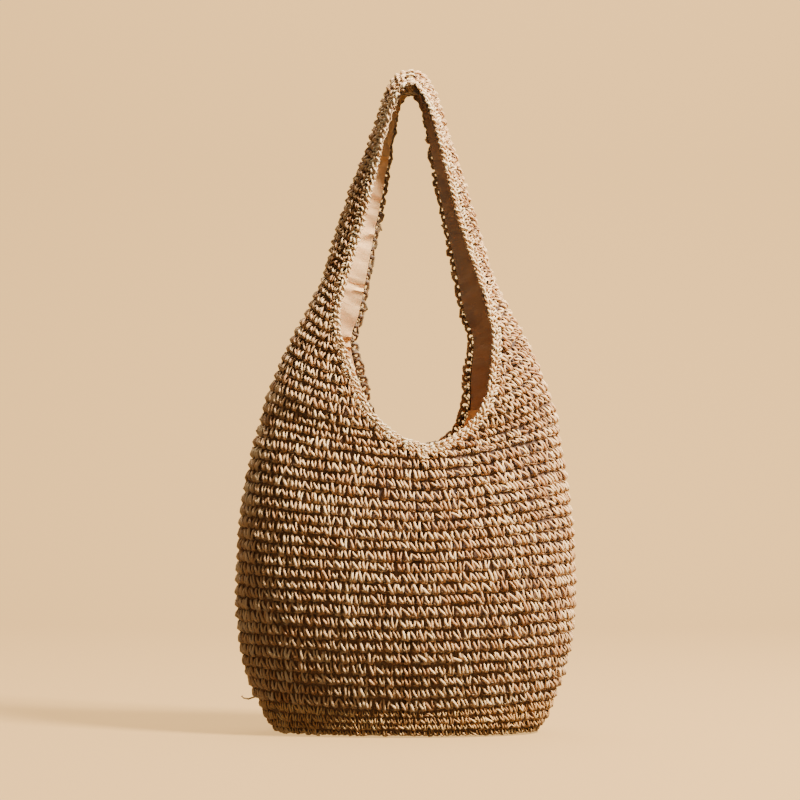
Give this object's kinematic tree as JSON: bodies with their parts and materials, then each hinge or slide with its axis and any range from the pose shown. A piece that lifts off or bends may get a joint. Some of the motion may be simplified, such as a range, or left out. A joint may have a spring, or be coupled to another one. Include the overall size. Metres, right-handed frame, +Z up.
{
  "type": "hobo bag",
  "caption": "Crocheted straw hobo shoulder bag with a wide one-piece strap, U-shaped mouth, cloth lining, inner zip pocket and magnetic snap, standing on its flat oval base.",
  "frame": {"origin": "on the floor under the middle of the base", "axes": "+Z up along the bag's height, -Y towards the bag's front, +X to the right seen from the front"},
  "size_m": [0.3364, 0.1496, 0.6606],
  "materials": {
    "straw": "matte",
    "straw_edging": "matte",
    "lining_cloth": "matte",
    "base_board": "matte",
    "zip_tape": "matte",
    "zip_metal": "satin",
    "snap_metal": "satin",
    "label_satin": "satin"
  },
  "bodies": {
    "bag": {"crochet_base": "straw", "crochet_body": "straw", "crochet_shoulder_left": "straw", "crochet_shoulder_right": "straw", "mouth_edging_front": "straw_edging", "mouth_edging_back": "straw_edging", "shoulder_edging_front_left": "straw_edging", "shoulder_edging_front_right": "straw_edging", "shoulder_edging_back_left": "straw_edging", "shoulder_edging_back_right": "straw_edging", "lining_base": "lining_cloth", "lining_front": "lining_cloth", "lining_back": "lining_cloth", "shoulder_lining_left": "lining_cloth", "shoulder_lining_right": "lining_cloth", "base_board": "base_board", "zip_pocket_panel": "lining_cloth", "zip_pocket_band": "lining_cloth", "zip_tape_upper": "zip_tape", "zip_tape_lower": "zip_tape", "zip_teeth_upper": "zip_metal", "zip_teeth_lower": "zip_metal", "zip_stop_open_end": "zip_metal", "zip_stop_closed_end": "zip_metal", "slip_pocket": "lining_cloth", "snap_patch_front": "lining_cloth", "snap_patch_back": "lining_cloth", "snap_socket": "snap_metal", "snap_stud": "snap_metal", "care_label": "label_satin"},
    "strap": {"crochet_strap_left": "straw", "crochet_strap_right": "straw", "strap_top_seam": "straw_edging", "strap_edging_front": "straw_edging", "strap_edging_back": "straw_edging", "strap_lining_left": "lining_cloth", "strap_lining_right": "lining_cloth"},
    "zip_slider": {"zip_slider": "zip_metal"},
    "zip_pull": {"zip_pull": "zip_metal"}
  },
  "joints": [
    {"name": "strap_fold", "type": "hinge", "parent": "bag", "child": "strap", "pos_m": [0, 0, 0.395], "axis": [1, 0, 0], "range_deg": [-85, 85], "deforming": ["crochet_shoulder_left", "crochet_shoulder_right", "shoulder_edging_front_left", "shoulder_edging_front_right", "shoulder_edging_back_left", "shoulder_edging_back_right", "shoulder_lining_left", "shoulder_lining_right"]},
    {"name": "zip_slide", "type": "slide", "parent": "bag", "child": "zip_slider", "axis": [-1, 0, 0], "range_m": [0, 0.108]},
    {"name": "zip_pull_swing", "type": "hinge", "parent": "zip_slider", "child": "zip_pull", "pos_m": [0.05675, 0.04805, 0.216], "axis": [0, 1, 0], "range_deg": [-95, 95]}
  ]
}
